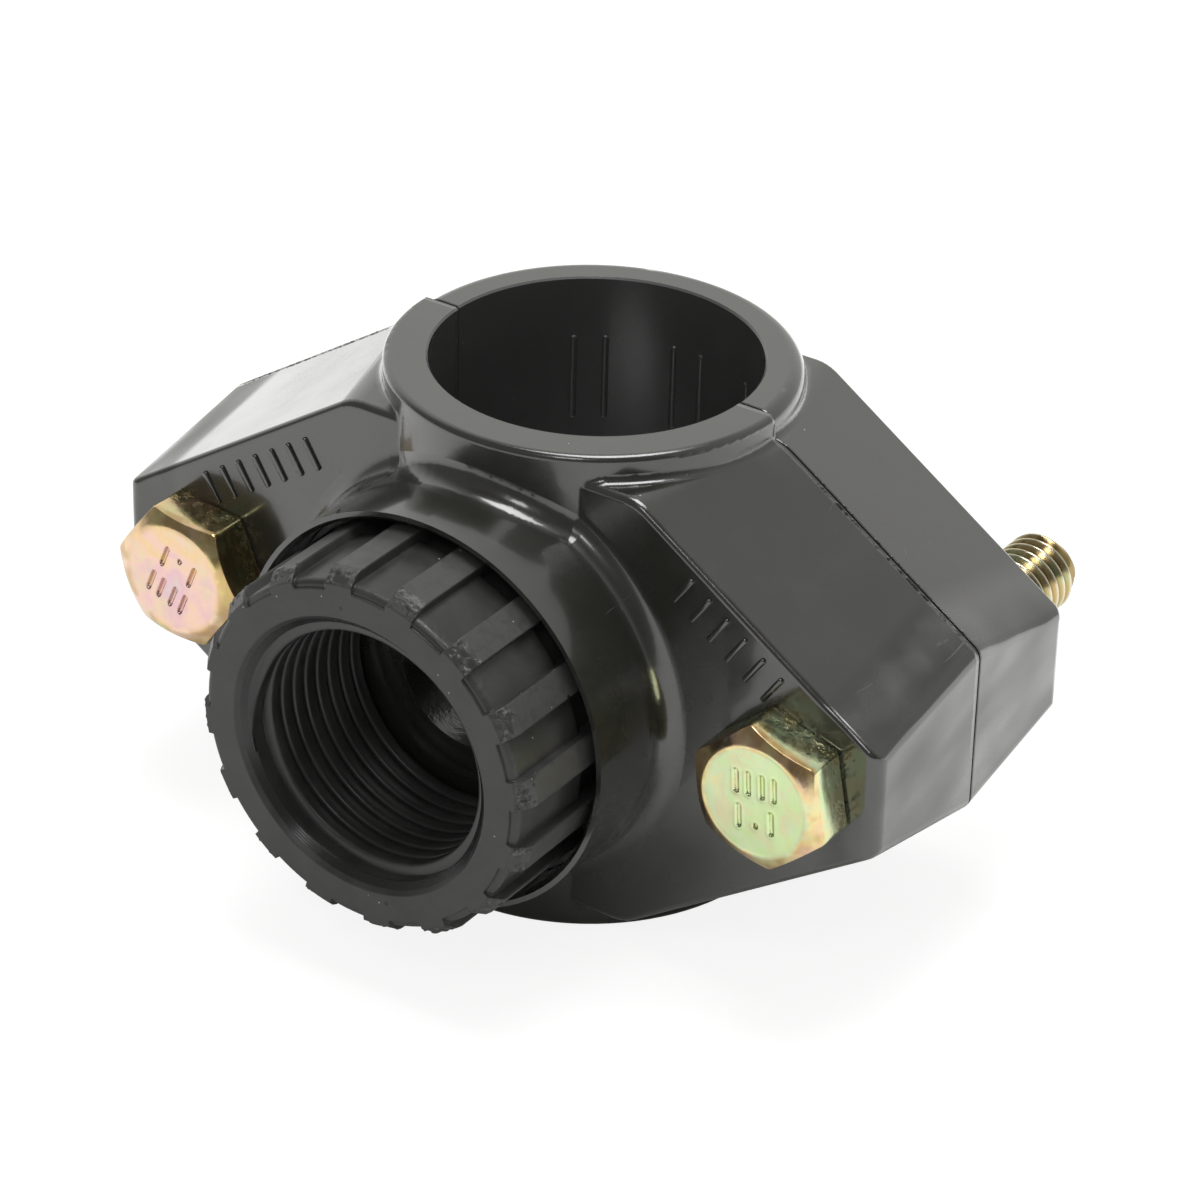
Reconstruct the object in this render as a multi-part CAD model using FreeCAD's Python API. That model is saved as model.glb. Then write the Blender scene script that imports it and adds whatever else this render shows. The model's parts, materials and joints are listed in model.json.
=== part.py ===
"""Tapping saddle for a 32 mm pipe with a 3/4 inch female outlet.

Frame: the pipe lies along Z and the origin is where its axis crosses the axis of
the outlet. The outlet points along -Y, the two bolted wings reach along +X and -X,
and the halves part on the plane Y = 0. All lengths are in millimetres.
"""
import FreeCAD, Part
import math
import os
from FreeCAD import Vector

# Pipe barrel
PIPE_D = 32.0            # outside diameter of the pipe that the saddle grips
FRONT_WALL = 4.3         # barrel wall of the half that carries the outlet
BACK_WALL = 3.9          # barrel wall of the clamping half
SPLIT_GAP = 0.2          # gap between the two halves
RIM_STAND = 2.6          # how far the barrel's rims stand above the wings
FRONT_RIM_ROUND = 0.7    # rounding of the rims' outer edges
BACK_RIM_ROUND = 1.5
BORE_EDGE = 0.2          # bevel at the mouth of the bore

# Outlet
THREAD_D = 26.44         # major diameter of the G 3/4 thread, drawn as a plain wall
INSERT_WALL = 3.85       # insert, from the thread to its plain outer face
PAD_RISE = 0.75          # raised pads between the ribs
RIB_RISE = 1.75          # gripping ribs
RIB_COUNT = 16
RIB_WIDTH = 3.0
RIB_NOSE = 0.65          # height of the ribs at the insert's face
RIB_BEVEL = 1.3          # length of the slope from there up to their tops
RIB_CROWN = 0.7          # gentler slope behind it, which rounds the tops' front ends
RIB_CROWN_RISE = 0.15
RIB_START_DEG = 7.3      # direction of the first rib, from +X towards +Z
PAD_STEP = 0.25          # pads start this far behind the insert's face
PAD_LENGTH = 10.2
FOOT_THICK = 2.5         # collar at the insert's inner end, seated in the boss
FOOT_CLEAR = 0.05
RIB_GAP = 0.75           # open ring between the ribs and the boss
BOSS_WALL = 0.9
BOSS_LEAD = 0.4          # bevel inside the rim of the boss
BOSS_DEPTH = 7.7         # counterbore, from its rim to the seat
INSERT_STAND = 9.8       # how far the insert stands out of the boss
SEAT_WALL = 4.5          # from the crown of the bore to the insert's seat
BOSS_FILLET = 2.3        # at the root of the boss
MOUTH_BEVEL = 1.1        # lead-in at the outlet's mouth
PORT_STEP = 5.62         # floor left round the port, inside the thread

# Seal round the port
SEAL_LAND = 0.8          # wall between the port and the seal's groove
SEAL_WIDTH = 2.4
SEAL_DEPTH = 2.0
SEAL_CLEAR = 0.05

# Wings
WING_OVER_BORE = 1.5     # front face of the wings, in front of the bore's crown
WING_BEHIND_BORE = 0.4   # back face of the wings, behind the bore's crown
INCLINE_DEG = 33.6       # slope of the wings' upper and lower faces
END_HALF_SPLIT = 8.4     # half height of the end faces at the split
END_HALF_FRONT = 5.1
END_HALF_BACK = 4.9
WING_EDGE = 0.7          # rounding round the wings' front and back faces
END_ROUND = 1.5          # rounding where the slopes meet the ends
TOP_ROUND = 4.0          # rounding where the slopes meet the flat top
CREASE_FILLET = 0.85     # hollow where a wing's face meets the barrel
SHOULDER = 0.5           # from the root of the boss up to the wings' flat top

# Bolts and nuts, M8
BOLT_D = 8.0
BOLT_LENGTH = 48.0       # under the head
BOLT_TIP_BEVEL = 0.9
HEX_ACROSS = 13.0
HEAD_THICK = 5.3
HEAD_FACE_D = 11.4       # flat circle left by the bevel of the head
HEAD_BEVEL_DEG = 30.0
NUT_THICK = 6.5
NUT_FACE_D = 11.9
THREAD_CLEAR = 0.05      # bolt in nut, at the radius
HOLE_CLEAR = 0.5         # bolt in the halves, at the radius
POCKET_CLEAR = 0.1       # nut in its pocket, on each flat
NUT_SUNK = 0.4           # nut's outer face below the wing's back face
SPANNER_ROOM = 3.3       # from the root of the boss to the corners of a head
END_LAND = 2.4           # from the corners of a head to the wing's end
RIGHT_HEX_DEG = 40.7     # direction of one corner of the right head
LEFT_HEX_DEG = 53.7

# Grip ribs in the bore of the clamping half
GRIP_PAIRS = 3
GRIP_PAIR_PITCH_DEG = 36.0
GRIP_SPREAD_DEG = 11.1   # between the two ribs of a pair
GRIP_ROUND = 0.45        # radius of a rib
GRIP_RISE = 0.16
GRIP_BITE = 0.08         # how deep the ribs press into the pipe
GRIP_LOW = 10.2          # rib from this height above the middle
GRIP_HIGH = 19.6

# Sizes that follow
BORE_R = PIPE_D / 2
BACK_BORE_R = BORE_R + GRIP_RISE - GRIP_BITE
FRONT_R = BORE_R + FRONT_WALL
BACK_R = BORE_R + BACK_WALL
THREAD_R = THREAD_D / 2
CORE_R = THREAD_R + INSERT_WALL
PAD_R = CORE_R + PAD_RISE
RIB_R = CORE_R + RIB_RISE
COUNTERBORE_R = RIB_R + RIB_GAP
BOSS_R = COUNTERBORE_R + BOSS_WALL
PORT_R = THREAD_R - PORT_STEP
SEAT_Y = -(BORE_R + SEAT_WALL)
BOSS_Y = SEAT_Y - BOSS_DEPTH
MOUTH_Y = BOSS_Y - INSERT_STAND
FLAT_TOP = BOSS_R + BOSS_FILLET + SHOULDER
HALF_HEIGHT = FLAT_TOP + RIM_STAND
FRONT_Y = -(BORE_R + WING_OVER_BORE)
BACK_Y = BORE_R + WING_BEHIND_BORE
BOLT_R = BOLT_D / 2
HOLE_R = BOLT_R + HOLE_CLEAR
HEX_CORNER_R = HEX_ACROSS / 2 / math.cos(math.radians(30))
BOLT_X = BOSS_R + BOSS_FILLET + SPANNER_ROOM + HEX_CORNER_R
WING_X = BOLT_X + HEX_CORNER_R + END_LAND
POCKET_Y = BACK_Y - NUT_SUNK - NUT_THICK

Y_AXIS = Vector(0, 1, 0)
Z_AXIS = Vector(0, 0, 1)


def upright_cylinder(radius, low, high):
    """Cylinder on the pipe's axis."""
    return Part.makeCylinder(radius, high - low, Vector(0, 0, low), Z_AXIS)


def level_cylinder(radius, y_from, y_to, x=0.0):
    """Cylinder along Y, on the outlet's axis or beside it."""
    return Part.makeCylinder(radius, y_to - y_from, Vector(x, y_from, 0), Y_AXIS)


def turned_on_y(points):
    """Solid turned about the outlet's axis from (radius, y) points."""
    wire = Part.makePolygon([Vector(r, y, 0) for r, y in points + points[:1]])
    return Part.Face(wire).revolve(Vector(0, 0, 0), Y_AXIS, 360)


def hexagon(x, y, across, depth, corner_deg):
    """Hexagonal prism along +Y, with one corner at the angle given."""
    radius = across / 2 / math.cos(math.radians(30))
    corners = []
    for step in range(7):
        angle = math.radians(corner_deg + 60 * step)
        corners.append(Vector(x + radius * math.cos(angle), y, radius * math.sin(angle)))
    return Part.Face(Part.makePolygon(corners)).extrude(Vector(0, depth, 0))


def middle(edge):
    """Point half way along an edge."""
    return edge.valueAt((edge.FirstParameter + edge.LastParameter) / 2)


def beyond_plane(a, b, c, outward):
    """Everything past the plane through three points, on its outward side."""
    normal = (b - a).cross(c - a)
    if normal.dot(outward) < 0:
        normal = -normal
    reach = 4 * WING_X
    return Part.makeCylinder(reach, reach, a, normal)


def wing_block(y_split, y_face, half_face):
    """Both wings of one half: a block with sloped faces and rounded outer edges.

    The slopes run from the flat top and bottom down to the ends, and lean inwards
    from the split to the outer face, as a moulding's draft does. They meet the flat
    top softly and the ends less so.
    """
    block = Part.makeBox(2 * WING_X, abs(y_face - y_split), 2 * FLAT_TOP)
    block.translate(Vector(-WING_X, min(y_face, y_split), -FLAT_TOP))
    run = (FLAT_TOP - END_HALF_SPLIT) / math.tan(math.radians(INCLINE_DEG))
    for sx in (1, -1):
        for sz in (1, -1):
            end_at_split = Vector(sx * WING_X, y_split, sz * END_HALF_SPLIT)
            top_at_split = Vector(sx * (WING_X - run), y_split, sz * FLAT_TOP)
            end_at_face = Vector(sx * WING_X, y_face, sz * half_face)
            outward = Vector(sx, 0, sz)
            block = block.cut(beyond_plane(end_at_split, top_at_split, end_at_face, outward))
    tops = []
    for edge in block.Edges:
        point = middle(edge)
        inside = min(abs(point.y - y_split), abs(point.y - y_face)) > 1e-6
        if inside and abs(abs(point.z) - FLAT_TOP) < 1e-6:
            tops.append(edge)
    block = block.makeFillet(TOP_ROUND, tops)
    ends = []
    for edge in block.Edges:
        point = middle(edge)
        if abs(abs(point.x) - WING_X) < 1e-6 and abs(point.y - y_split) > 1e-6:
            ends.append(edge)
    block = block.makeFillet(END_ROUND, ends)
    outline = [e for e in block.Edges if abs(middle(e).y - y_face) < 1e-6]
    return block.makeFillet(WING_EDGE, outline)


def wings_with_barrel(y_split, y_face, half_face, barrel_r, rim_round):
    """One half's wings and barrel, with a soft hollow where the two meet."""
    side = math.copysign(1, y_face)
    body = wing_block(y_split, y_face, half_face).fuse(barrel(barrel_r, rim_round, side)).removeSplitter()
    creases = []
    for edge in body.Edges:
        point = middle(edge)
        on_face = abs(point.y - y_face) < 1e-4
        on_barrel = abs(math.hypot(point.x, point.y) - barrel_r) < 1e-4
        if on_face and on_barrel and edge.Length > FLAT_TOP:
            creases.append(edge)
    return body.makeFillet(CREASE_FILLET, creases)


def barrel(radius, rim_round, y_side):
    """Half of the pipe barrel with rounded rims, on one side of the split."""
    whole = upright_cylinder(radius, -HALF_HEIGHT, HALF_HEIGHT)
    rims = [e for e in whole.Edges if abs(abs(e.CenterOfMass.z) - HALF_HEIGHT) < 1e-6]
    whole = whole.makeFillet(rim_round, rims)
    keep = Part.makeBox(4 * radius, 2 * radius, 3 * HALF_HEIGHT)
    keep.translate(Vector(-2 * radius, 0, -1.5 * HALF_HEIGHT))
    if y_side < 0:
        keep.translate(Vector(0, -2 * radius, 0))
    keep.translate(Vector(0, y_side * SPLIT_GAP / 2, 0))
    return whole.common(keep)


def bore_cutter(radius):
    """The pipe's bore with a small bevel at both mouths."""
    cutter = upright_cylinder(radius, -2 * HALF_HEIGHT, 2 * HALF_HEIGHT)
    for side in (1, -1):
        mouth = Part.makeCone(radius, radius + 2 * BORE_EDGE, 2 * BORE_EDGE,
                              Vector(0, 0, side * (HALF_HEIGHT - BORE_EDGE)), Z_AXIS * side)
        cutter = cutter.fuse(mouth)
    return cutter


def seal_ring(inner_r, outer_r, depth):
    """Ring round the port, curved to follow the bore."""
    tube = level_cylinder(outer_r, -2 * BORE_R, 0).cut(level_cylinder(inner_r, -2 * BORE_R, 0))
    shell = upright_cylinder(BORE_R + depth, -HALF_HEIGHT, HALF_HEIGHT)
    shell = shell.cut(upright_cylinder(BORE_R, -HALF_HEIGHT, HALF_HEIGHT))
    return tube.common(shell)


def upper_saddle():
    """Front half: wings, barrel and the boss that holds the threaded insert."""
    body = wings_with_barrel(-SPLIT_GAP / 2, FRONT_Y, END_HALF_FRONT, FRONT_R, FRONT_RIM_ROUND)
    body = body.fuse(level_cylinder(BOSS_R, BOSS_Y, -BORE_R / 2)).removeSplitter()
    root = []
    for edge in body.Edges:
        point = middle(edge)
        on_boss = abs(math.hypot(point.x, point.z) - BOSS_R) < 1e-4
        off_rim = all(vertex.Y > BOSS_Y + 1e-4 for vertex in edge.Vertexes)
        if on_boss and off_rim:
            root.append(edge)
    body = body.makeFillet(BOSS_FILLET, root)
    body.fix(1e-5, 1e-5, 1e-3)
    body = body.cut(bore_cutter(BORE_R))
    body = body.cut(turned_on_y([
        (0, BOSS_Y - BOSS_LEAD), (COUNTERBORE_R + 2 * BOSS_LEAD, BOSS_Y - BOSS_LEAD),
        (COUNTERBORE_R, BOSS_Y + BOSS_LEAD), (COUNTERBORE_R, SEAT_Y), (0, SEAT_Y),
    ]))
    body = body.cut(level_cylinder(PORT_R, SEAT_Y - 1, 0))
    groove = seal_ring(PORT_R + SEAL_LAND, PORT_R + SEAL_LAND + SEAL_WIDTH, SEAL_DEPTH)
    body = body.cut(groove)
    for side in (1, -1):
        body = body.cut(level_cylinder(HOLE_R, 2 * FRONT_Y, 1, side * BOLT_X))
    return body


def grip_rib(angle_deg, side):
    """Half-round rib with domed ends, along the bore of the clamping half."""
    radius = BORE_R - GRIP_BITE + GRIP_ROUND
    x = radius * math.cos(math.radians(angle_deg))
    y = radius * math.sin(math.radians(angle_deg))
    low = side * (GRIP_LOW + GRIP_ROUND)
    high = side * (GRIP_HIGH - GRIP_ROUND)
    rib = Part.makeCylinder(GRIP_ROUND, abs(high - low), Vector(x, y, min(low, high)), Z_AXIS)
    for z in (low, high):
        rib = rib.fuse(Part.makeSphere(GRIP_ROUND, Vector(x, y, z)))
    return rib


def lower_saddle():
    """Back half: wings, barrel, nut pockets and the ribs that grip the pipe."""
    body = wings_with_barrel(SPLIT_GAP / 2, BACK_Y, END_HALF_BACK, BACK_R, BACK_RIM_ROUND)
    body = body.cut(bore_cutter(BACK_BORE_R))
    for side in (1, -1):
        body = body.cut(level_cylinder(HOLE_R, -1, 2 * BACK_Y, side * BOLT_X))
        across = HEX_ACROSS + 2 * POCKET_CLEAR
        body = body.cut(hexagon(side * BOLT_X, POCKET_Y, across, 2 * NUT_THICK, 0))
    for pair in range(GRIP_PAIRS):
        pair_deg = 90 + (pair - (GRIP_PAIRS - 1) / 2) * GRIP_PAIR_PITCH_DEG
        for angle in (pair_deg - GRIP_SPREAD_DEG / 2, pair_deg + GRIP_SPREAD_DEG / 2):
            for side in (1, -1):
                body = body.fuse(grip_rib(angle, side))
    return body


def outlet_insert():
    """Threaded insert with gripping ribs, pads between them and a seated foot."""
    pad_front = MOUTH_Y + PAD_STEP
    pad_back = pad_front + PAD_LENGTH
    foot_front = SEAT_Y - FOOT_THICK
    foot_r = COUNTERBORE_R - FOOT_CLEAR
    core = turned_on_y([
        (THREAD_R + MOUTH_BEVEL, MOUTH_Y), (CORE_R, MOUTH_Y), (CORE_R, foot_front),
        (foot_r, foot_front), (foot_r, SEAT_Y), (THREAD_R, SEAT_Y),
        (THREAD_R, MOUTH_Y + MOUTH_BEVEL),
    ])
    pads = level_cylinder(PAD_R, pad_front, pad_back)
    front_edge = [e for e in pads.Edges if abs(e.CenterOfMass.y - pad_front) < 1e-6]
    pads = pads.makeFillet(0.9 * PAD_RISE, front_edge)
    ribs = turned_on_y([
        (THREAD_R + INSERT_WALL / 2, MOUTH_Y), (CORE_R + RIB_NOSE, MOUTH_Y),
        (RIB_R - RIB_CROWN_RISE, MOUTH_Y + RIB_BEVEL),
        (RIB_R, MOUTH_Y + RIB_BEVEL + RIB_CROWN), (RIB_R, foot_front + FOOT_THICK / 2),
        (THREAD_R + INSERT_WALL / 2, foot_front + FOOT_THICK / 2),
    ])
    bars = []
    for count in range(RIB_COUNT):
        bar = Part.makeBox(2 * RIB_R, SEAT_Y - MOUTH_Y, RIB_WIDTH)
        bar.translate(Vector(THREAD_R + INSERT_WALL / 4, MOUTH_Y, -RIB_WIDTH / 2))
        angle = RIB_START_DEG + count * 360.0 / RIB_COUNT
        bar.rotate(Vector(0, 0, 0), Y_AXIS, -angle)
        bars.append(bar)
    ribs = ribs.common(Part.makeCompound(bars))
    pads = pads.cut(level_cylinder(THREAD_R + INSERT_WALL / 2, 2 * MOUTH_Y, 0))
    return core.fuse([pads] + ribs.Solids).removeSplitter()


def saddle_seal():
    """Rubber ring round the port, pressed flush with the bore."""
    inner = PORT_R + SEAL_LAND + SEAL_CLEAR
    outer = PORT_R + SEAL_LAND + SEAL_WIDTH - SEAL_CLEAR
    return seal_ring(inner, outer, SEAL_DEPTH - SEAL_CLEAR)


def bevelled_cone(x, y_face, face_d, direction):
    """Cone that trims the corners of a hexagon from its flat circle outwards."""
    reach = HEX_ACROSS
    rise = reach * math.tan(math.radians(HEAD_BEVEL_DEG))
    return Part.makeCone(face_d / 2, face_d / 2 + reach, rise,
                         Vector(x, y_face, 0), Y_AXIS * direction)


def bolt(x, corner_deg):
    """Hexagon bolt: trimmed head and plain shank with a bevelled tip."""
    face_y = FRONT_Y - HEAD_THICK
    head = hexagon(x, face_y, HEX_ACROSS, HEAD_THICK, corner_deg)
    head = head.common(bevelled_cone(x, face_y, HEAD_FACE_D, 1))
    tip_y = FRONT_Y + BOLT_LENGTH
    shank = level_cylinder(BOLT_R, face_y + HEAD_THICK / 2, tip_y, x)
    tip = [e for e in shank.Edges if abs(e.CenterOfMass.y - tip_y) < 1e-6]
    shank = shank.makeChamfer(BOLT_TIP_BEVEL, tip)
    return head.fuse(shank).removeSplitter()


def nut(x):
    """Hexagon nut, trimmed on its outer face and bored to pass the bolt's thread."""
    face_y = POCKET_Y + NUT_THICK
    body = hexagon(x, POCKET_Y, HEX_ACROSS, NUT_THICK, 0)
    body = body.common(bevelled_cone(x, face_y, NUT_FACE_D, -1))
    return body.cut(level_cylinder(BOLT_R + THREAD_CLEAR, POCKET_Y - 1, face_y + 1, x))


def main():
    os.makedirs("parts", exist_ok=True)
    nodes = {
        "upper_saddle": upper_saddle(),
        "lower_saddle": lower_saddle(),
        "outlet_insert": outlet_insert(),
        "saddle_seal": saddle_seal(),
        "bolt_right": bolt(BOLT_X, RIGHT_HEX_DEG),
        "bolt_left": bolt(-BOLT_X, LEFT_HEX_DEG),
        "nut_right": nut(BOLT_X),
        "nut_left": nut(-BOLT_X),
    }
    for name, shape in nodes.items():
        if len(shape.Solids) != 1 or not shape.isValid():
            raise ValueError(name + " is not one valid solid")
        shape.Solids[0].exportStep("parts/" + name + ".step")
        box = shape.BoundBox
        print(name, round(shape.Volume, 1), "x", round(box.XMin, 2), round(box.XMax, 2),
              "y", round(box.YMin, 2), round(box.YMax, 2), "z", round(box.ZMin, 2), round(box.ZMax, 2))


main()
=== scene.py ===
"""Looks of the tapping saddle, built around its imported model.

Lengths in the numbers below are millimetres, and MM turns them into metres. The pipe's axis is Z,
the outlet's axis is Y with its mouth towards -Y, and the wings reach out along X.
"""

import json
import math

import bmesh
import bpy
from mathutils import Matrix, Vector, noise

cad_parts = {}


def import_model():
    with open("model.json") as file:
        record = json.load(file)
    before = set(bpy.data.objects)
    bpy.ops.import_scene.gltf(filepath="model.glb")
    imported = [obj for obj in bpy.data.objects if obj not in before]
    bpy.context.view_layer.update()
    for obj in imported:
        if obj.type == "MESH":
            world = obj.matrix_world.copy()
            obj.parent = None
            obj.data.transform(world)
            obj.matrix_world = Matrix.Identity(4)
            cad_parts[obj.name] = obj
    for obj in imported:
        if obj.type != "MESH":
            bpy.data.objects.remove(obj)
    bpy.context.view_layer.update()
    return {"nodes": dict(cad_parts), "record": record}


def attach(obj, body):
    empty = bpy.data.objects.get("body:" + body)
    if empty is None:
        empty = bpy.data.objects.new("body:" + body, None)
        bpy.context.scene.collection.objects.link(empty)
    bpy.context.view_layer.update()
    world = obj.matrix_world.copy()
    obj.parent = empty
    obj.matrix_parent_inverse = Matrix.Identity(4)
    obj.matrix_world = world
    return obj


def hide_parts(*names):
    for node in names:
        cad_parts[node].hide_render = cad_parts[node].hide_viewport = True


MM = 0.001

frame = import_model()
nodes = frame["nodes"]
mounts = {mount["name"]: mount for mount in frame["record"]["mounts"]}

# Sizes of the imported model
PIPE_R = mounts["pipe_clamp"]["dims"]["r_mm"]
THREAD_R = mounts["outlet_thread"]["dims"]["r_mm"]
FLOOR_Z = mounts["lower_rim"]["pos_m"][2] / MM
PORT_R = 7.6            # way from the outlet into the bore
FRONT_Y = -17.5         # front face of the wings
BACK_Y = 16.4           # back face of the wings
WING_X = 43.48
END_HALF_SPLIT = 8.4    # half height of the wings' end faces where the halves part
INCLINE_DEG = 33.6      # slope of the wings' upper and lower faces
MOUTH_Y = -38.0         # the insert's face
MOUTH_BEVEL = 1.1
SEAT_Y = -20.5          # the insert's inner end
RIB_R = 18.82
RIB_COUNT = 16
RIB_FIRST_DEG = 7.3
RIB_FRONT = ((17.72, MOUTH_Y), (18.67, MOUTH_Y + 1.3), (RIB_R, MOUTH_Y + 2.0))
BOLT_X = 33.576
BOLT_TIP_Y = 30.5
HEX_APOTHEM = 6.5
HEAD_FACE_Y = -22.8
HEAD_FACE_R = 5.7
HEAD_BEVEL_DEG = 30

# Threads, which the model holds as plain walls
G_PITCH = 1.814
G_DEPTH = 1.05
M8_PITCH = 1.25
M8_CORE = 3.40
M8_CREST = 3.97
M8_FROM_Y = 7.0
M8_TIP_R = 3.3          # where the thread ends at a bolt's tip

BODY_BLACK = (0.021, 0.021, 0.0172, 1)
# Painted light: a lighter black for the bore, standing in for light inside it
BORE_BLACK_PAINTED_LIGHTER = (0.045, 0.047, 0.045, 1)
SCRATCHED = (0.12, 0.12, 0.117, 1)
DUST = (0.36, 0.36, 0.34, 1)


class Tree:
    """A material's or world's node tree, with short calls for adding nodes to it."""

    def __init__(self, owner):
        owner.use_nodes = True
        self.tree = owner.node_tree
        self.tree.nodes.clear()

    def add(self, kind, settings=None, **inputs):
        """A new node. Each input is a value or another node's output, _ standing for a space."""
        node = self.tree.nodes.new("ShaderNode" + kind)
        for key, value in (settings or {}).items():
            setattr(node, key, value)
        for key, value in inputs.items():
            self.set(node, key.replace("_", " "), value)
        return node

    def set(self, node, name, value):
        """Sets or links an input, given by its name or by its number as text."""
        socket = node.inputs[int(name)] if name.isdigit() else node.inputs[name]
        if isinstance(value, bpy.types.NodeSocket):
            self.tree.links.new(value, socket)
        else:
            socket.default_value = value

    def math(self, operation, a, b=0.0, c=0.0):
        node = self.add("Math", {"operation": operation})
        for index, value in enumerate((a, b, c)):
            self.set(node, str(index), value)
        return node.outputs[0]

    def times(self, first, *others):
        """Product of fields and numbers."""
        for other in others:
            first = self.math("MULTIPLY", first, other)
        return first

    def plus(self, first, *others):
        """Sum of fields and numbers."""
        for other in others:
            first = self.math("ADD", first, other)
        return first

    def mix(self, factor, a, b):
        """Colour a where the factor is 0 and colour b where it is 1."""
        node = self.add("Mix", {"data_type": "RGBA"})
        self.set(node, "0", factor)
        self.set(node, "6", a)
        self.set(node, "7", b)
        return node.outputs[2]

    def range(self, value, low, high, to_low=0.0, to_high=1.0):
        """Maps low..high to to_low..to_high, smoothly and clamped."""
        node = self.add("MapRange", {"interpolation_type": "SMOOTHSTEP"})
        for index, item in enumerate((value, low, high, to_low, to_high)):
            self.set(node, str(index), item)
        return node.outputs[0]

    def span(self, length, low_mm, high_mm, to_low=0.0, to_high=1.0):
        """The same for a length in metres, between two ends in millimetres."""
        return self.range(length, low_mm * MM, high_mm * MM, to_low, to_high)

    def xyz(self, space="Object"):
        """A point's three coordinates: its place in metres, or a direction in the world's tree."""
        source = self.add("TexCoord").outputs[space]
        return self.add("SeparateXYZ", Vector=source).outputs

    def coords(self, scale=(1, 1, 1), turn=(0, 0, 0)):
        """A point's place, turned and stretched for the textures."""
        source = self.add("TexCoord").outputs["Object"]
        mapping = self.add("Mapping", Vector=source, Scale=scale)
        mapping.inputs["Rotation"].default_value = [math.radians(a) for a in turn]
        return mapping.outputs[0]

    def noise(self, vector, size_mm, detail=3.0, rough=0.5, distortion=0.0):
        node = self.add("TexNoise", Vector=vector, Scale=1000.0 / size_mm, Detail=detail,
                        Roughness=rough, Distortion=distortion)
        return node.outputs["Fac"]

    def specks(self, vector, cell_mm, radius, share):
        """Scattered small dots, 1 inside a dot."""
        cell = self.add("TexVoronoi", Vector=vector, Scale=1000.0 / cell_mm)
        pick = self.add("SeparateColor", Color=cell.outputs["Color"])
        spread = self.times(pick.outputs[1], radius)
        near = self.math("LESS_THAN", cell.outputs["Distance"], spread)
        chosen = self.math("GREATER_THAN", pick.outputs[0], 1.0 - share)
        return self.times(near, chosen)

    def hairs(self, vector, size_mm, width):
        """Thin curved lines where a noise crosses its middle value."""
        field = self.noise(vector, size_mm, 1.0, 0.4)
        off = self.math("ABSOLUTE", self.math("SUBTRACT", field, 0.5))
        return self.range(off, width, 0.0)

    def height(self, *layers):
        """Sum of (field, millimetres) pairs, in metres."""
        total = 0.0
        for field, depth in layers:
            total = self.math("MULTIPLY_ADD", field, depth * MM, total)
        return total

    def bumped(self, *layers, edge_mm=None):
        """Normal bumped by (field, millimetres) pairs, over edges rounded by edge_mm if given."""
        bump = self.add("Bump", Strength=1.0, Distance=1.0, Height=self.height(*layers))
        if edge_mm is not None:
            bevel = self.add("Bevel", {"samples": 4}, Radius=edge_mm * MM)
            self.set(bump, "Normal", bevel.outputs[0])
        return bump.outputs[0]

    def from_axis(self, axis, centre_x=0.0):
        """Distance from a line through (centre_x, 0, 0) along Y or Z."""
        x, y, z = self.xyz()
        off = self.math("SUBTRACT", x, centre_x * MM)
        other = z if axis == "y" else y
        return self.math("SQRT", self.plus(self.times(off, off), self.times(other, other)))


def material(name, metallic=0.0, ior=1.5):
    """A material with one shader, whose colour, roughness and normal are left to the caller."""
    made = bpy.data.materials.new(name)
    tree = Tree(made)
    shader = tree.add("BsdfPrincipled", Metallic=metallic, IOR=ior)
    tree.add("OutputMaterial", Surface=shader.outputs[0])
    return made, tree, shader


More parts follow.
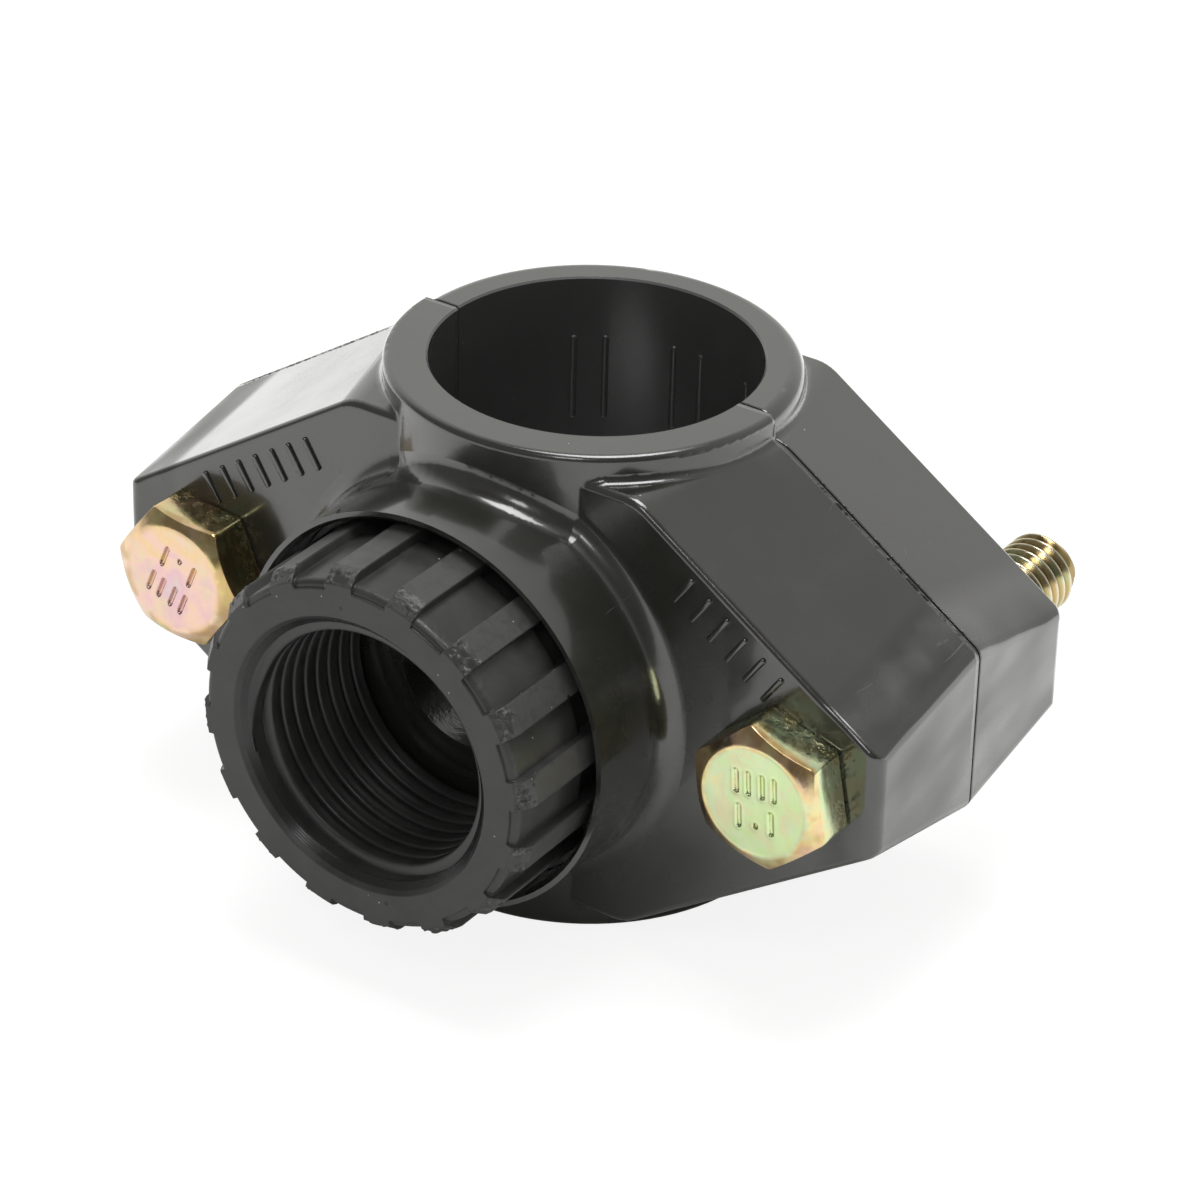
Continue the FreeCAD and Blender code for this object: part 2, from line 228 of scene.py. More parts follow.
def body_plastic():
    """Glossy black polypropylene: slow sink waves, a fine skin, dust and a few fibres.

    Its bore is satin and given a lighter black as painted light, its end faces are buckled, and the
    split and the port are torn.
    """
    made, tree, shader = material("body_plastic", ior=1.7)
    tree.set(shader, "Coat Weight", 1.0)
    tree.set(shader, "Coat Roughness", 0.09)
    place = tree.coords()
    x, y = tree.xyz()[:2]
    in_bore = tree.span(tree.from_axis("z"), PIPE_R + 0.35, PIPE_R + 0.20)
    in_port = tree.times(tree.span(y, -12, -12.5),
                         tree.span(tree.from_axis("y"), PORT_R + 0.6, PORT_R + 0.3))
    at_ends = tree.span(tree.math("ABSOLUTE", x), 37, 43)

    fibres = tree.hairs(tree.coords((1, 0.22, 1), (35, 10, 50)), 7, 0.0018)
    hairs = tree.times(fibres, tree.range(tree.noise(place, 5, 2), 0.62, 0.70))
    dust = tree.specks(place, 1.6, 0.085, 0.10)
    patches = tree.range(tree.noise(place, 9, 3, 0.6), 0.3, 0.7, 0.18, 0.31)
    duller = tree.times(tree.math("MAXIMUM", hairs, in_bore), 0.22)
    tree.set(shader, "Roughness", tree.plus(patches, duller))
    # Painted light: the bore gets a lighter black than the rest of the body
    tone = tree.mix(in_bore, BODY_BLACK, BORE_BLACK_PAINTED_LIGHTER)
    tone = tree.mix(tree.times(hairs, 0.5), tone, (0.12, 0.12, 0.12, 1))
    tree.set(shader, "Base Color", tree.mix(dust, tone, DUST))

    sink = tree.noise(place, 22, 1.5, 0.4)
    flow = tree.noise(tree.coords((1, 0.45, 1), (0, 25, 12)), 6, 3, 0.55, 0.6)
    waves = tree.noise(tree.coords((1, 0.75, 1.35), (-38, 0, 0)), 12, 1.5, 0.4)
    buckled = tree.times(waves, at_ends)
    skin = tree.noise(place, 0.35, 3, 0.6)
    satin = tree.times(tree.noise(place, 0.12, 2, 0.6), in_bore)
    torn = tree.times(tree.noise(place, 0.7, 3, 0.65), in_port)
    ragged = tree.times(tree.noise(place, 1.2, 3, 0.7), 0.25 * MM)
    off_split = tree.math("ABSOLUTE", tree.plus(y, ragged))
    split = tree.span(off_split, 0.12, 0.50, 1.0, 0.0)
    normal = tree.bumped((sink, 0.10), (split, -0.10), (buckled, 1.7), (flow, 0.016),
                         (skin, 0.0012), (satin, 0.016), (dust, 0.03), (torn, 0.05))
    tree.set(shader, "Normal", normal)
    tree.set(shader, "Coat Normal", normal)
    return made


def insert_plastic():
    """Satin black moulding, scuffed pale where its ribs stand out at the front, with painted light on
    the ribs' outer faces and painted shade in the mouth's bevel.
    """
    made, tree, shader = material("insert_plastic")
    place = tree.coords()
    y = tree.xyz()[1]
    radius = tree.from_axis("y")
    front = tree.span(y, MOUTH_Y + 2.6, MOUTH_Y + 0.4)
    outside = tree.span(radius, 17.4, 18.4)
    # The mouth's bevel: darkened as painted shade, glossier, and turned with tool marks
    bevel_end = MOUTH_Y + MOUTH_BEVEL
    bevel = tree.times(tree.span(radius, THREAD_R + 0.75, THREAD_R + 0.60),
                       tree.span(y, bevel_end + 0.1, bevel_end))

    grain = tree.noise(place, 1.1, 4, 0.65, 0.8)
    patches = tree.noise(place, 5, 3, 0.6)
    worn = tree.times(front, outside, tree.range(grain, 0.46, 0.62))
    # Painted light: the ribs' outer faces are made lighter, as if lit from above
    rib_tops_painted_light = tree.times(tree.span(radius, RIB_R - 0.32, RIB_R - 0.07),
                      tree.range(grain, 0.25, 0.6, 0.4, 1.0))
    dust = tree.specks(place, 1.3, 0.09, 0.16)
    dark = tree.specks(tree.coords((1.1, 1, 0.9)), 1.9, 0.12, 0.2)
    cloudy = tree.range(patches, 0.35, 0.7)
    tone = tree.mix(cloudy, (0.030, 0.030, 0.0295, 1), (0.046, 0.046, 0.045, 1))
    tone = tree.mix(rib_tops_painted_light, tone, (0.064, 0.065, 0.063, 1))
    tone = tree.mix(dark, tone, (0.006, 0.006, 0.006, 1))
    tone = tree.mix(tree.times(worn, 0.5), tone, SCRATCHED)
    # Painted shade: the mouth's bevel is darkened, standing in for its dark reflection
    tone = tree.mix(bevel, tone, (0.017, 0.017, 0.0168, 1))
    tree.set(shader, "Base Color", tree.mix(dust, tone, DUST))
    rough = tree.range(patches, 0.3, 0.7, 0.29, 0.42)
    tree.set(shader, "Roughness", tree.math("SUBTRACT", rough, tree.times(bevel, 0.10)))

    tool_pitch = 0.16
    tool_marks = tree.math("SINE", tree.times(y, 2 * math.pi / (tool_pitch * MM)))
    turned = tree.times(tool_marks, bevel)
    skin = tree.noise(place, 0.28, 3, 0.6)
    normal = tree.bumped((skin, 0.004), (patches, 0.02), (worn, 0.05), (dust, 0.03),
                         (turned, 0.004), edge_mm=0.25)
    tree.set(shader, "Normal", normal)
    return made


def torn_plastic():
    """The paler, torn skin of the insert's plastic."""
    made, tree, shader = material("insert_torn", ior=1.45)
    place = tree.coords()
    pale = tree.range(tree.noise(place, 0.5, 3, 0.6), 0.45, 0.62)
    tree.set(shader, "Base Color", tree.mix(pale, (0.036, 0.036, 0.035, 1), SCRATCHED))
    tree.set(shader, "Roughness", 0.42)
    tree.set(shader, "Normal", tree.bumped((tree.noise(place, 0.25, 3), 0.02)))
    return made


def seal_rubber():
    """Black rubber with a slight grey bloom."""
    made, tree, shader = material("seal_rubber")
    place = tree.coords()
    bloom = tree.noise(place, 3, 4, 0.6)
    tone = tree.mix(bloom, (0.013, 0.013, 0.013, 1), (0.03, 0.03, 0.029, 1))
    tree.set(shader, "Base Color", tone)
    tree.set(shader, "Roughness", tree.range(bloom, 0.3, 0.7, 0.55, 0.75))
    tree.set(shader, "Normal", tree.bumped((tree.noise(place, 0.3, 3), 0.006)))
    return made


FILM = ((0.00, (0.72, 0.74, 0.36, 1)), (0.20, (0.66, 0.82, 0.42, 1)), (0.36, (0.70, 0.80, 0.50, 1)),
        (0.50, (0.88, 0.76, 0.36, 1)), (0.62, (0.87, 0.62, 0.36, 1)), (0.76, (0.88, 0.62, 0.50, 1)),
        (0.88, (0.80, 0.52, 0.56, 1)), (1.00, (0.70, 0.62, 0.60, 1)))


def film_colour(tree, place):
    """The zinc film's colour at a place in its run, from 0 to 1."""
    ramp = tree.add("ValToRGB", Fac=place)
    stops = ramp.color_ramp
    stops.elements[0].position, stops.elements[0].color = FILM[0]
    stops.elements[1].position, stops.elements[1].color = FILM[-1]
    for position, colour in FILM[1:-1]:
        stops.elements.new(position).color = colour
    return ramp.outputs[0]


def tip_colour(tree, place, radius):
    """Colour of a bolt's tip: brassy and greenish, with painted shade in the thread and painted
    highlights on its crests.
    """
    greenish = tree.range(tree.noise(place, 2.6, 2, 0.5), 0.45, 0.62)
    tone = tree.mix(greenish, (0.60, 0.44, 0.20, 1), (0.50, 0.54, 0.27, 1))
    # Painted shade in the thread's valleys
    valley_shade = tree.span(radius, M8_CREST - 0.22, M8_CREST - 0.52, 0.0, 0.8)
    tone = tree.mix(valley_shade, tone, (0.24, 0.17, 0.065, 1))
    # Painted highlight on the thread's crests
    crest = tree.span(radius, M8_CREST - 0.19, M8_CREST - 0.04, 0.0, 0.7)
    return tree.mix(crest, tone, (0.84, 0.80, 0.62, 1))


def yellow_zinc(name, centre_x, face, rim, side, stamped):
    """Yellow passivated zinc, whose thin film drifts between green, straw, peach and pink.

    face and rim are places in the film's run of colours, side the same for the flats and shank.
    """
    made, tree, shader = material(name, metallic=1.0)
    place = tree.coords()
    y = tree.xyz()[1]
    radius = tree.from_axis("y", centre_x)
    wave = tree.noise(place, 5.5, 2, 0.5, 1.0)
    outer = tree.span(tree.plus(radius, tree.times(wave, 1.2 * MM)), 5.6, 6.6)
    behind = tree.span(y, HEAD_FACE_Y + 1.0, HEAD_FACE_Y + 1.6)
    on_face = tree.plus(face, tree.times(outer, rim - face))
    film = tree.math("MULTIPLY_ADD", tree.math("SUBTRACT", side, on_face), behind, on_face)
    spread = tree.times(tree.math("SUBTRACT", wave, 0.5), 0.75)
    fine_noise = tree.noise(place, 1.9, 3, 0.5, 0.6)
    cloud = tree.times(tree.math("SUBTRACT", fine_noise, 0.5), 0.30)
    tone = film_colour(tree, tree.plus(film, tree.plus(spread, cloud)))

    creamy = tree.noise(tree.coords((1, 1, 0.7), (0, 40, 0)), 2.4, 3, 0.6, 0.8)
    tone = tree.mix(tree.range(creamy, 0.48, 0.66, 0.0, 0.6), tone, (0.78, 0.68, 0.42, 1))
    grime = tree.range(tree.noise(place, 0.9, 4, 0.7), 0.50, 0.64)
    shank = tree.times(tree.span(y, HEAD_FACE_Y + 2.4, FRONT_Y),
                       tree.span(y, BACK_Y - 0.4, BACK_Y - 1.4))
    low = tree.times(shank, grime)
    tone = tree.mix(tree.times(low, 0.75), tone, (0.10, 0.08, 0.04, 1))
    tip = tree.span(y, BACK_Y - 2.4, BACK_Y - 0.4)
    tone = tree.mix(tip, tone, tip_colour(tree, place, radius))
    patchy = tree.range(tree.noise(place, 3.2, 2, 0.5), 0.42, 0.60, 0.0, 0.55)
    brown_rim = tree.times(outer, patchy, tree.math("SUBTRACT", 1.0, behind))
    tone = tree.mix(brown_rim, tone, (0.45, 0.27, 0.08, 1))
    if stamped:
        # Painted shade: one wall of each pressed stroke is darkened brown
        stroke_shade = tree.add("Attribute", {"attribute_name": "pressed"}).outputs["Fac"]
        tone = tree.mix(tree.times(stroke_shade, 0.55), tone, (0.42, 0.22, 0.07, 1))
    tree.set(shader, "Base Color", tone)

    scuff = tree.noise(tree.coords((1, 1, 0.25), (20, 0, 30)), 0.7, 4, 0.65)
    pits = tree.noise(place, 0.5, 3, 0.6)
    rough = tree.plus(tree.range(scuff, 0.3, 0.7, 0.13, 0.26), tree.times(low, 0.25))
    tree.set(shader, "Roughness", rough)
    normal = tree.bumped((scuff, 0.008), (pits, 0.004), (low, -0.03), edge_mm=0.14)
    tree.set(shader, "Normal", normal)
    return made


BODY = body_plastic()
INSERT = insert_plastic()
INSERT_SKIN = torn_plastic()
SEAL = seal_rubber()
ZINC_RIGHT = yellow_zinc("bolt_zinc_right", BOLT_X, 0.26, 0.60, 0.40, True)
ZINC_LEFT = yellow_zinc("bolt_zinc_left", -BOLT_X, 0.76, 0.64, 0.56, True)
ZINC_NUT = yellow_zinc("nut_zinc", 0.0, 0.40, 0.50, 0.45, False)

for node_name, look in (("upper_saddle", BODY), ("lower_saddle", BODY), ("outlet_insert", INSERT),
                        ("saddle_seal", SEAL), ("nut_right", ZINC_NUT), ("nut_left", ZINC_NUT)):
    for slot in nodes[node_name].material_slots:
        slot.material = look


def mesh_piece(name, points, faces, look, body, sharp_deg):
    """A piece from points in millimetres, riding on a body."""
    mesh = bpy.data.meshes.new(name)
    mesh.from_pydata([Vector(p) * MM for p in points], [], faces)
    built = bmesh.new()
    built.from_mesh(mesh)
    bmesh.ops.remove_doubles(built, verts=built.verts, dist=1e-7)
    bmesh.ops.dissolve_degenerate(built, edges=built.edges, dist=1e-7)
    bmesh.ops.recalc_face_normals(built, faces=built.faces)
    built.to_mesh(mesh)
    built.free()
    mesh.polygons.foreach_set("use_smooth", [True] * len(mesh.polygons))
    mesh.set_sharp_from_angle(angle=math.radians(sharp_deg))
    mesh.materials.append(look)
    piece = bpy.data.objects.new(name, mesh)
    bpy.context.scene.collection.objects.link(piece)
    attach(piece, body)
    return piece


def rings_to_faces(ring_count, size, start=0):
    """Quads between successive closed rings of the same size."""
    faces = []
    for ring in range(ring_count - 1):
        for i in range(size):
            j = (i + 1) % size
            a = start + ring * size
            b = a + size
            faces.append((a + i, a + j, b + j, b + i))
    return faces


def closed_tube(ring_count, size, start=0):
    """Faces of a solid made of successive rings, with a flat face at either end."""
    last = start + (ring_count - 1) * size
    faces = rings_to_faces(ring_count, size, start)
    faces.append(tuple(start + i for i in range(size)))
    faces.append(tuple(last + i for i in reversed(range(size))))
    return faces


def smooth_step(low, high, value):
    """0 up to low, 1 from high on, and smooth between them."""
    t = max(0.0, min(1.0, (value - low) / (high - low)))
    return t * t * (3 - 2 * t)


def ridge(centre_x, y_start, y_end, pitch, profile, per_turn, fade_turns, limit=None, start_deg=0):
    """Solid right-handed screw ridge about a line along Y.

    profile holds (offset, base radius, crest radius): offset along the axis in pitches, and the
    radius there where the ridge has faded out and where it is full.
    """
    turns = (y_end - y_start) / pitch - 1.0
    steps = int(turns * per_turn)
    points = []
    for step in range(steps + 1):
        turn = step / per_turn
        nearest_end = min(turn, steps / per_turn - turn)
        full = smooth_step(0.0, 1.0, nearest_end / fade_turns)
        angle = 2 * math.pi * turn + math.radians(start_deg)
        middle = y_start + pitch * (0.5 + turn)
        for offset, base, crest in profile:
            y = middle + offset * pitch
            radius = base + (crest - base) * full
            if limit is not None:
                radius = limit(y, radius)
            points.append((centre_x + radius * math.sin(angle), y, radius * math.cos(angle)))
    return points, closed_tube(steps + 1, len(profile))


def outlet_thread():
    """The outlet's G 3/4 thread, with rounded crests."""
    shape = ((0.49, 0.0), (0.46, 0.20), (0.40, 0.72), (0.35, 0.93), (0.28, 0.99), (0.0, 1.0))
    root = THREAD_R + 0.01
    hidden = THREAD_R + 0.3
    profile = [(-offset, root, root - G_DEPTH * share) for offset, share in shape]
    profile += [(offset, root, root - G_DEPTH * share) for offset, share in reversed(shape[:-1])]
    profile += [(0.49, hidden, hidden), (-0.49, hidden, hidden)]
    points, faces = ridge(0.0, MOUTH_Y + 0.8, SEAT_Y + 0.35, G_PITCH, profile, 128, 0.12,
                          start_deg=250)
    mesh_piece("outlet_thread", points, faces, INSERT, "front_half", 60)


def rib_path(t):
    """Radius and y along a rib's front slope, t from 0 at the insert's face to 1."""
    bend = 0.7
    (r0, y0), (r1, y1), (r2, y2) = RIB_FRONT
    if t < bend:
        k = t / bend
        return r0 + (r1 - r0) * k, y0 + (y1 - y0) * k
    k = (t - bend) / (1 - bend)
    return r1 + (r2 - r1) * k, y1 + (y2 - y1) * k


def grid_sheet_faces(base, along, across):
    """Faces of a closed sheet whose two layers are grids of points, the upper one first."""
    row = across + 1
    under = base + (along + 1) * row
    faces = []
    for i in range(along):
        for j in range(across):
            a = base + i * row + j
            b = under + i * row + j
            faces.append((a, a + 1, a + row + 1, a + row))
            faces.append((b, b + row, b + row + 1, b + 1))
    loop = [(0, j) for j in range(across)] + [(i, across) for i in range(along)]
    loop += [(along, j) for j in range(across, 0, -1)] + [(i, 0) for i in range(along, 0, -1)]
    for k, (i, j) in enumerate(loop):
        m, n = loop[(k + 1) % len(loop)]
        a, b = i * row + j, m * row + n
        faces.append((base + a, under + a, under + b, base + b))
    return faces


def rib_burrs():
    """Ragged low skins that lie on the ribs' front slopes, thicker towards the right."""
    points = []
    faces = []
    across, along = 24, 14
    half_width = 1.5
    for rib in range(RIB_COUNT):
        angle = math.radians(RIB_FIRST_DEG + 360 * rib / RIB_COUNT)
        out = Vector((math.cos(angle), 0, math.sin(angle)))
        side = Vector((-math.sin(angle), 0, math.cos(angle)))
        reach = 0.11 + 0.08 * max(0.0, math.cos(angle))
        faces += grid_sheet_faces(len(points), along, across)
        for upper in (True, False):
            for i in range(along + 1):
                t = i / along
                radius, y = rib_path(t)
                for j in range(across + 1):
                    w = half_width * (2 * j / across - 1)
                    inside = min(i, along - i, j, across - j) > 0
                    height = -0.09 if upper else -0.16
                    if upper and inside:
                        spot = Vector((rib * 7.1 + w * 1.1, t * 2.6, 0.3))
                        rough = noise.fractal(spot, 0.7, 2.1, 3)
                        height = max(-0.07, min(reach, (rough * 0.9 - 0.12) * reach * 2.4))
                    place = out * (radius + height * 0.8) + side * w
                    lift = 0.02 if upper else 0.0
                    points.append((place.x, y - height * 0.6 + lift, place.z))
    mesh_piece("rib_skins", points, faces, INSERT_SKIN, "front_half", 60)


def bolt_limit(y, radius):
    """The tip's bevel also trims the thread."""
    return min(radius, M8_TIP_R + max(0.0, BOLT_TIP_Y - 0.02 - y) * 0.85)


def bolt_thread(centre_x):
    """A bolt's M8 thread, with narrow flat crests."""
    buried = M8_CORE - 0.4
    profile = [(-0.46, M8_CORE, M8_CORE), (-0.10, M8_CORE, M8_CREST - 0.05),
               (-0.05, M8_CORE, M8_CREST), (0.05, M8_CORE, M8_CREST),
               (0.10, M8_CORE, M8_CREST - 0.05), (0.46, M8_CORE, M8_CORE),
               (0.46, buried, buried), (-0.46, buried, buried)]
    return ridge(centre_x, M8_FROM_Y - 0.6, BOLT_TIP_Y - 0.02, M8_PITCH, profile, 64, 0.35,
                 bolt_limit)


def hexagon_radius(angle, corner):
    """Outline of the hexagon, with its corners slightly rounded."""
    sixth = math.pi / 3
    off_corner = abs((angle - corner + sixth / 2) % sixth - sixth / 2)
    rounded_corner_r = 7.42
    return min(HEX_APOTHEM / math.cos(sixth / 2 - off_corner), rounded_corner_r)


# Plain strokes pressed into a bolt's head, each from (x, z) to (x, z), and one dot
STROKES = ((-1.9, 0.8, -1.9, 2.8), (-0.6, 0.8, -0.6, 2.8), (0.9, 0.8, 0.9, 2.8),
           (2.2, 0.8, 2.2, 2.8), (-1.7, -2.8, -1.7, -0.8), (0.1, -2.5, 0.1, -2.45),
           (1.8, -2.8, 1.8, -0.8))


def stroke_distance(x, z):
    """Distance to the nearest stroke."""
    nearest = HEAD_FACE_R
    for x0, z0, x1, z1 in STROKES:
        dx, dz = x1 - x0, z1 - z0
        t = max(0.0, min(1.0, ((x - x0) * dx + (z - z0) * dz) / (dx * dx + dz * dz)))
        nearest = min(nearest, math.hypot(x - x0 - t * dx, z - z0 - t * dz))
    return nearest


def stamp_depth(x, z):
    """Depth of the strokes, with a slight burr beside them."""
    nearest = stroke_distance(x, z)
    pressed = 0.28 * (1 - smooth_step(0.10, 0.30, nearest))
    burr = 0.03 * smooth_step(0.26, 0.36, nearest) * (1 - smooth_step(0.36, 0.65, nearest))
    return pressed - burr


def head_turned(x, z, stamp_deg):
    """A point of a head's face as the strokes have it, before they were turned."""
    turn = math.radians(stamp_deg)
    return x * math.cos(turn) + z * math.sin(turn), z * math.cos(turn) - x * math.sin(turn)


def mark_pressed(piece, centre_x, stamp_deg):
    """Point values: 1 along one wall of each stroke, which the zinc's material darkens brown as
    painted shade.
    """
    mesh = piece.data
    values = [0.0] * len(mesh.vertices)
    for index, vertex in enumerate(mesh.vertices):
        x, y, z = (c / MM for c in vertex.co)
        if y < HEAD_FACE_Y + 0.5 and math.hypot(x - centre_x, z) < HEAD_FACE_R - 0.3:
            u, v = head_turned(x - centre_x, z, stamp_deg)
            values[index] = 1 - smooth_step(0.05, 0.20, stroke_distance(u - 0.13, v + 0.05))
    mesh.attributes.new("pressed", "FLOAT", "POINT").data.foreach_set("value", values)


# Radii of the rings of points on a head's face and round its edge
HEAD_FACE_RINGS = [0.1 * i for i in range(1, 55)]
HEAD_EDGE_RINGS = (5.52, 5.62)
HEAD_POINTS = 288


def face_dip(x, z, centre_x, stamp_deg):
    """How far a point of a head's face lies below the model's plane face."""
    edge = math.hypot(x, z) - 5.5
    if edge > 0:
        return 0.02 + 0.05 * edge
    u, v = head_turned(x, z, stamp_deg)
    ripple = 0.03 * noise.noise(Vector((x * 0.5, z * 0.5, centre_x)))
    return max(0.005, 0.035 + stamp_depth(u, v) + ripple)


def bolt(name, node, centre_x, corner_deg, stamp_deg, look, body):
    """Hexagon bolt with a trimmed head, stamped strokes and a real M8 thread."""
    corner = math.radians(corner_deg)
    slope = math.tan(math.radians(HEAD_BEVEL_DEG))
    under = FRONT_Y - 0.01
    angles = [2 * math.pi * i / HEAD_POINTS for i in range(HEAD_POINTS)]
    edges = [hexagon_radius(angle, corner) for angle in angles]
    points = [(centre_x, HEAD_FACE_Y + 0.01, 0.0)]

    def add_point(radius, y, angle):
        points.append((centre_x + radius * math.cos(angle), y, radius * math.sin(angle)))

    for radius in (*HEAD_FACE_RINGS, *HEAD_EDGE_RINGS):
        for angle in angles:
            x, z = radius * math.cos(angle), radius * math.sin(angle)
            add_point(radius, HEAD_FACE_Y + face_dip(x, z, centre_x, stamp_deg), angle)
    for t in (0.03, 0.3, 0.6, 0.85, 0.97):
        for angle, edge in zip(angles, edges):
            radius = HEAD_FACE_R + (edge - HEAD_FACE_R) * t
            add_point(radius, HEAD_FACE_Y + 0.02 + (radius - HEAD_FACE_R) * slope, angle)
    for t, inset in ((0.02, 0.0), (0.3, 0.0), (0.65, 0.0), (0.95, 0.0), (1.0, 0.16)):
        for angle, edge in zip(angles, edges):
            top = HEAD_FACE_Y + 0.04 + (edge - HEAD_FACE_R) * slope
            add_point(edge - inset, top + (under - top) * t, angle)
    for radius, y in ((M8_CREST, under), (M8_CREST, M8_FROM_Y - 0.4), (M8_CORE, M8_FROM_Y + 0.3),
                      (M8_CORE, BOLT_TIP_Y - 0.35), (M8_CORE - 0.35, BOLT_TIP_Y)):
        for angle in angles:
            add_point(radius, y, angle)

    last = len(points) - HEAD_POINTS
    faces = [(0, 1 + (i + 1) % HEAD_POINTS, 1 + i) for i in range(HEAD_POINTS)]
    faces += rings_to_faces((len(points) - 1) // HEAD_POINTS, HEAD_POINTS, 1)
    faces.append(tuple(last + i for i in range(HEAD_POINTS)))
    base = len(points)
    thread_points, thread_faces = bolt_thread(centre_x)
    points += thread_points
    faces += [tuple(base + i for i in face) for face in thread_faces]
    piece = mesh_piece(name, points, faces, look, body, 32)
    mark_pressed(piece, centre_x, stamp_deg)
    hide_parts(node)


def raised_marks(name, start, end, count, height, width):
    """A row of upright round-ended dashes on the wings' front face, between two (x, z) points."""
    points = []
    faces = []
    size = 20
    rings = ((0.0, -0.12), (0.0, 0.16), (0.07, 0.25), (0.16, 0.28))
    along = Vector((end[0] - start[0], 0, end[1] - start[1]))
    row = along.normalized()
    upright = Vector((-row.z, 0, row.x))
    half_length = height / 2 - width / 2
    for index in range(count):
        centre = Vector((start[0], 0, start[1])) + along * (index / (count - 1))
        faces += closed_tube(len(rings), size, len(points))
        for inset, rise in rings:
            for i in range(size):
                angle = 2 * math.pi * i / size
                radius = width / 2 - inset
                end_centre = half_length if math.sin(angle) >= 0 else -half_length
                reach = end_centre + radius * math.sin(angle)
                spot = centre + row * (radius * math.cos(angle)) + upright * reach
                points.append((spot.x, FRONT_Y - rise, spot.z))
    mesh_piece(name, points, faces, BODY, "front_half", 50)


def split_flash(name, y, body, seed):
    """Thin ragged flash that stands along the wings' sloping edges where the halves part."""
    points = []
    faces = []
    steps = 150
    start, length = 1.6, 21.5
    fade_steps = 8
    incline = math.radians(INCLINE_DEG)
    slope = Vector((math.cos(incline), 0, -math.sin(incline)))
    out = Vector((-slope.z, 0, slope.x))
    corner = Vector((WING_X, 0, END_HALF_SPLIT))
    for side, thickness in ((1, 1.0), (-1, 0.35)):
        for up in (1, -1):
            faces += closed_tube(steps + 1, 6, len(points))
            for i in range(steps + 1):
                back = start + length * i / steps
                place = Vector((i * 0.35 + seed, side * 3.7, up * 5.1))
                ragged = noise.fractal(place, 0.8, 2.0, 3) * 0.9 + 0.25 * noise.noise(place * 0.13)
                ends = min(1.0, i / fade_steps, (steps - i) / fade_steps)
                rise = max(0.0, min(0.10, 0.01 + 0.10 * ragged)) * ends * thickness
                wide = 0.05 + 0.6 * rise
                for offset, height in ((-wide, -0.12), (-wide, -0.03), (-0.4 * wide, rise - 0.01),
                                       (0.4 * wide, rise - 0.01), (wide, -0.03), (wide, -0.12)):
                    spot = corner - slope * back + out * height
                    points.append((side * spot.x, y + offset, up * spot.z))
    mesh_piece(name, points, faces, BODY, body, 50)


outlet_thread()
rib_burrs()
split_flash("front_flash", -0.22, "front_half", 0.0)
split_flash("back_flash", 0.22, "back_half", 40.0)
bolt("bolt_right_detailed", "bolt_right", BOLT_X, 40.7, 4, ZINC_RIGHT, "right_bolt")
bolt("bolt_left_detailed", "bolt_left", -BOLT_X, 53.7, 158, ZINC_LEFT, "left_bolt")
raised_marks("left_wing_marks", (-32.7, 8.3), (-20.6, 16.0), 7, 3.5, 0.6)
raised_marks("right_wing_marks", (21.8, 15.8), (31.8, 8.8), 6, 3.6, 0.6)


def seen_or_reflected(tree):
    """1 for camera rays, and 1 for rays that are mirrored or go through glass."""
    path = tree.add("LightPath")
    mirrored = tree.math("MAXIMUM", path.outputs["Is Glossy Ray"], path.outputs["Is Transmission Ray"])
    return path.outputs["Is Camera Ray"], mirrored


def floor():
    """Pale floor: white to the camera, with a part of its tone left to the shadow.

    In reflections it brightens with the distance from the saddle, most of all behind it.
    """
    half = 3.0
    z = (FLOOR_Z - 0.03) * MM
    corners = [(-half, -half, z), (half, -half, z), (half, half, z), (-half, half, z)]
    mesh = bpy.data.meshes.new("floor")
    mesh.from_pydata(corners, [], [(0, 1, 2, 3)])
    made = bpy.data.materials.new("floor_pale")
    tree = Tree(made)
    camera_ray, mirrored = seen_or_reflected(tree)
    y = tree.xyz()[1]
    away = tree.span(tree.from_axis("z"), 35, 80, 0.0, 0.28)
    behind = tree.span(y, 20, 120, 0.0, 0.45)
    reflected = tree.times(mirrored, tree.plus(away, behind))
    glow = tree.math("MULTIPLY_ADD", camera_ray, 0.86, reflected)
    matt = tree.math("SUBTRACT", 0.8, tree.times(camera_ray, 0.53))
    colour = tree.add("CombineColor", Red=matt, Green=matt, Blue=matt)
    surface = tree.add("BsdfDiffuse", Color=colour.outputs[0])
    light = tree.add("Emission", Color=(1, 1, 1, 1), Strength=glow)
    both = tree.add("AddShader")
    tree.set(both, "0", surface.outputs[0])
    tree.set(both, "1", light.outputs[0])
    tree.add("OutputMaterial", Surface=both.outputs[0])
    mesh.materials.append(made)
    plane = bpy.data.objects.new("floor", mesh)
    bpy.context.scene.collection.objects.link(plane)


def world():
    """White to the camera; in reflections pale behind the saddle and dim in front of it."""
    made = bpy.data.worlds.new("studio")
    bpy.context.scene.world = made
    tree = Tree(made)
    camera_ray, mirrored = seen_or_reflected(tree)
    x, y, z = tree.xyz("Generated")
    behind = tree.range(y, -0.35, 0.30, 0.16, 0.70)
    sideways = tree.math("MULTIPLY_ADD", x, -0.30, 1.0)
    overhead = tree.range(z, 0.72, 0.92, 1.0, 0.45)
    shown = tree.times(behind, sideways, overhead)
    plain = tree.math("SUBTRACT", 1.0, tree.math("MAXIMUM", camera_ray, mirrored))
    strength = tree.math("MULTIPLY_ADD", mirrored, shown, camera_ray)
    strength = tree.math("MULTIPLY_ADD", plain, 0.42, strength)
    tint = tree.mix(camera_ray, (1, 0.995, 0.965, 1), (1, 1, 1, 1))
    background = tree.add("Background", Color=tint, Strength=strength)
    tree.add("OutputWorld", Surface=background.outputs[0])


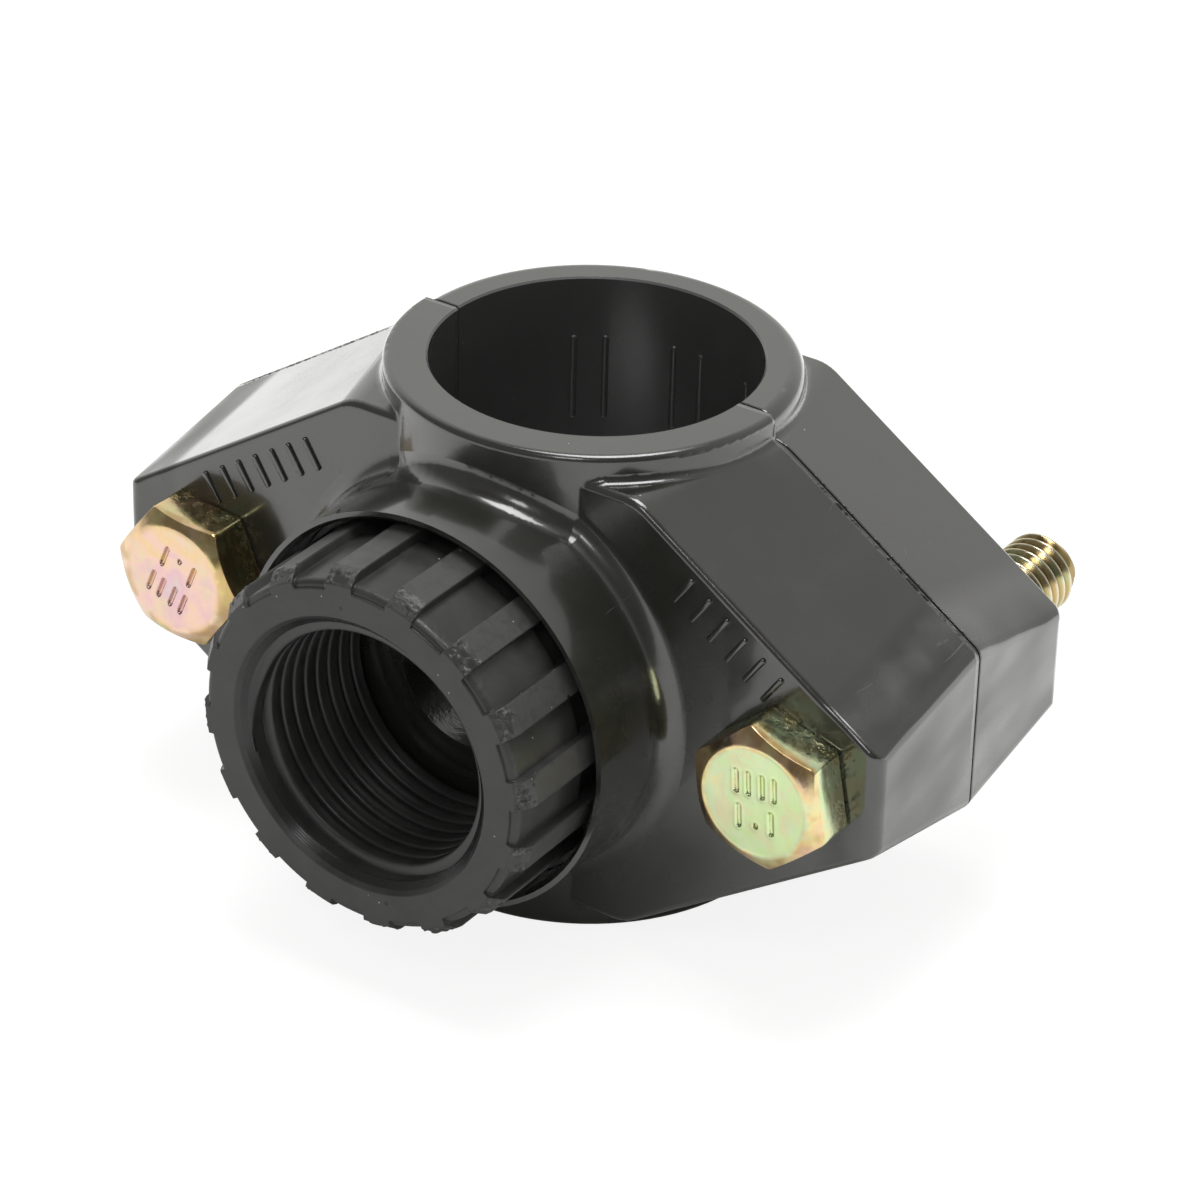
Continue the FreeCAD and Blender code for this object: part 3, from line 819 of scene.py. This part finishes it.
def softbox(name, place, size, power):
    """A square area light that faces the saddle."""
    lamp = bpy.data.lights.new(name, "AREA")
    lamp.shape = "RECTANGLE"
    lamp.size = lamp.size_y = size
    lamp.energy = power
    made = bpy.data.objects.new(name, lamp)
    bpy.context.scene.collection.objects.link(made)
    made.location = place
    made.rotation_euler = (-Vector(place)).to_track_quat("-Z", "Y").to_euler()


# Camera, fitted to the photograph's bore, rims and wing corners
CAMERA_AZIMUTH_DEG = 33.43
CAMERA_ELEVATION_DEG = 30.60
CAMERA_ROLL_DEG = 1.59
CAMERA_DISTANCE = 486.96
CAMERA_AIM = (5.43, -6.42, 3.74)
PHOTO_PIXELS = 1200
FOCAL_PIXELS = 5095.22
SENSOR_WIDTH = 36.0


def camera():
    """The scene's camera, looking at CAMERA_AIM."""
    azimuth = math.radians(CAMERA_AZIMUTH_DEG)
    elevation = math.radians(CAMERA_ELEVATION_DEG)
    roll = math.radians(CAMERA_ROLL_DEG)
    level_back = Vector((math.sin(azimuth), -math.cos(azimuth), 0))
    back = level_back * math.cos(elevation) + Vector((0, 0, math.sin(elevation)))
    level = Vector((math.cos(azimuth), math.sin(azimuth), 0))
    upright = back.cross(level)
    right = level * math.cos(roll) + upright * math.sin(roll)
    up = upright * math.cos(roll) - level * math.sin(roll)
    data = bpy.data.cameras.new("camera")
    data.sensor_fit = "HORIZONTAL"
    data.sensor_width = SENSOR_WIDTH
    data.lens = FOCAL_PIXELS / PHOTO_PIXELS * SENSOR_WIDTH
    data.clip_start = 0.02
    data.clip_end = 20.0
    made = bpy.data.objects.new("camera", data)
    bpy.context.scene.collection.objects.link(made)
    matrix = Matrix((right, up, back)).transposed().to_4x4()
    matrix.translation = (Vector(CAMERA_AIM) + back * CAMERA_DISTANCE) * MM
    made.matrix_world = matrix
    bpy.context.scene.camera = made


floor()
world()
softbox("softbox_above", (0.03, 0.06, 0.85), 0.45, 4.6)
softbox("softbox_front", (0.18, -0.55, 0.59), 0.17, 0.55)
camera()
bpy.context.scene.view_settings.view_transform = "Standard"
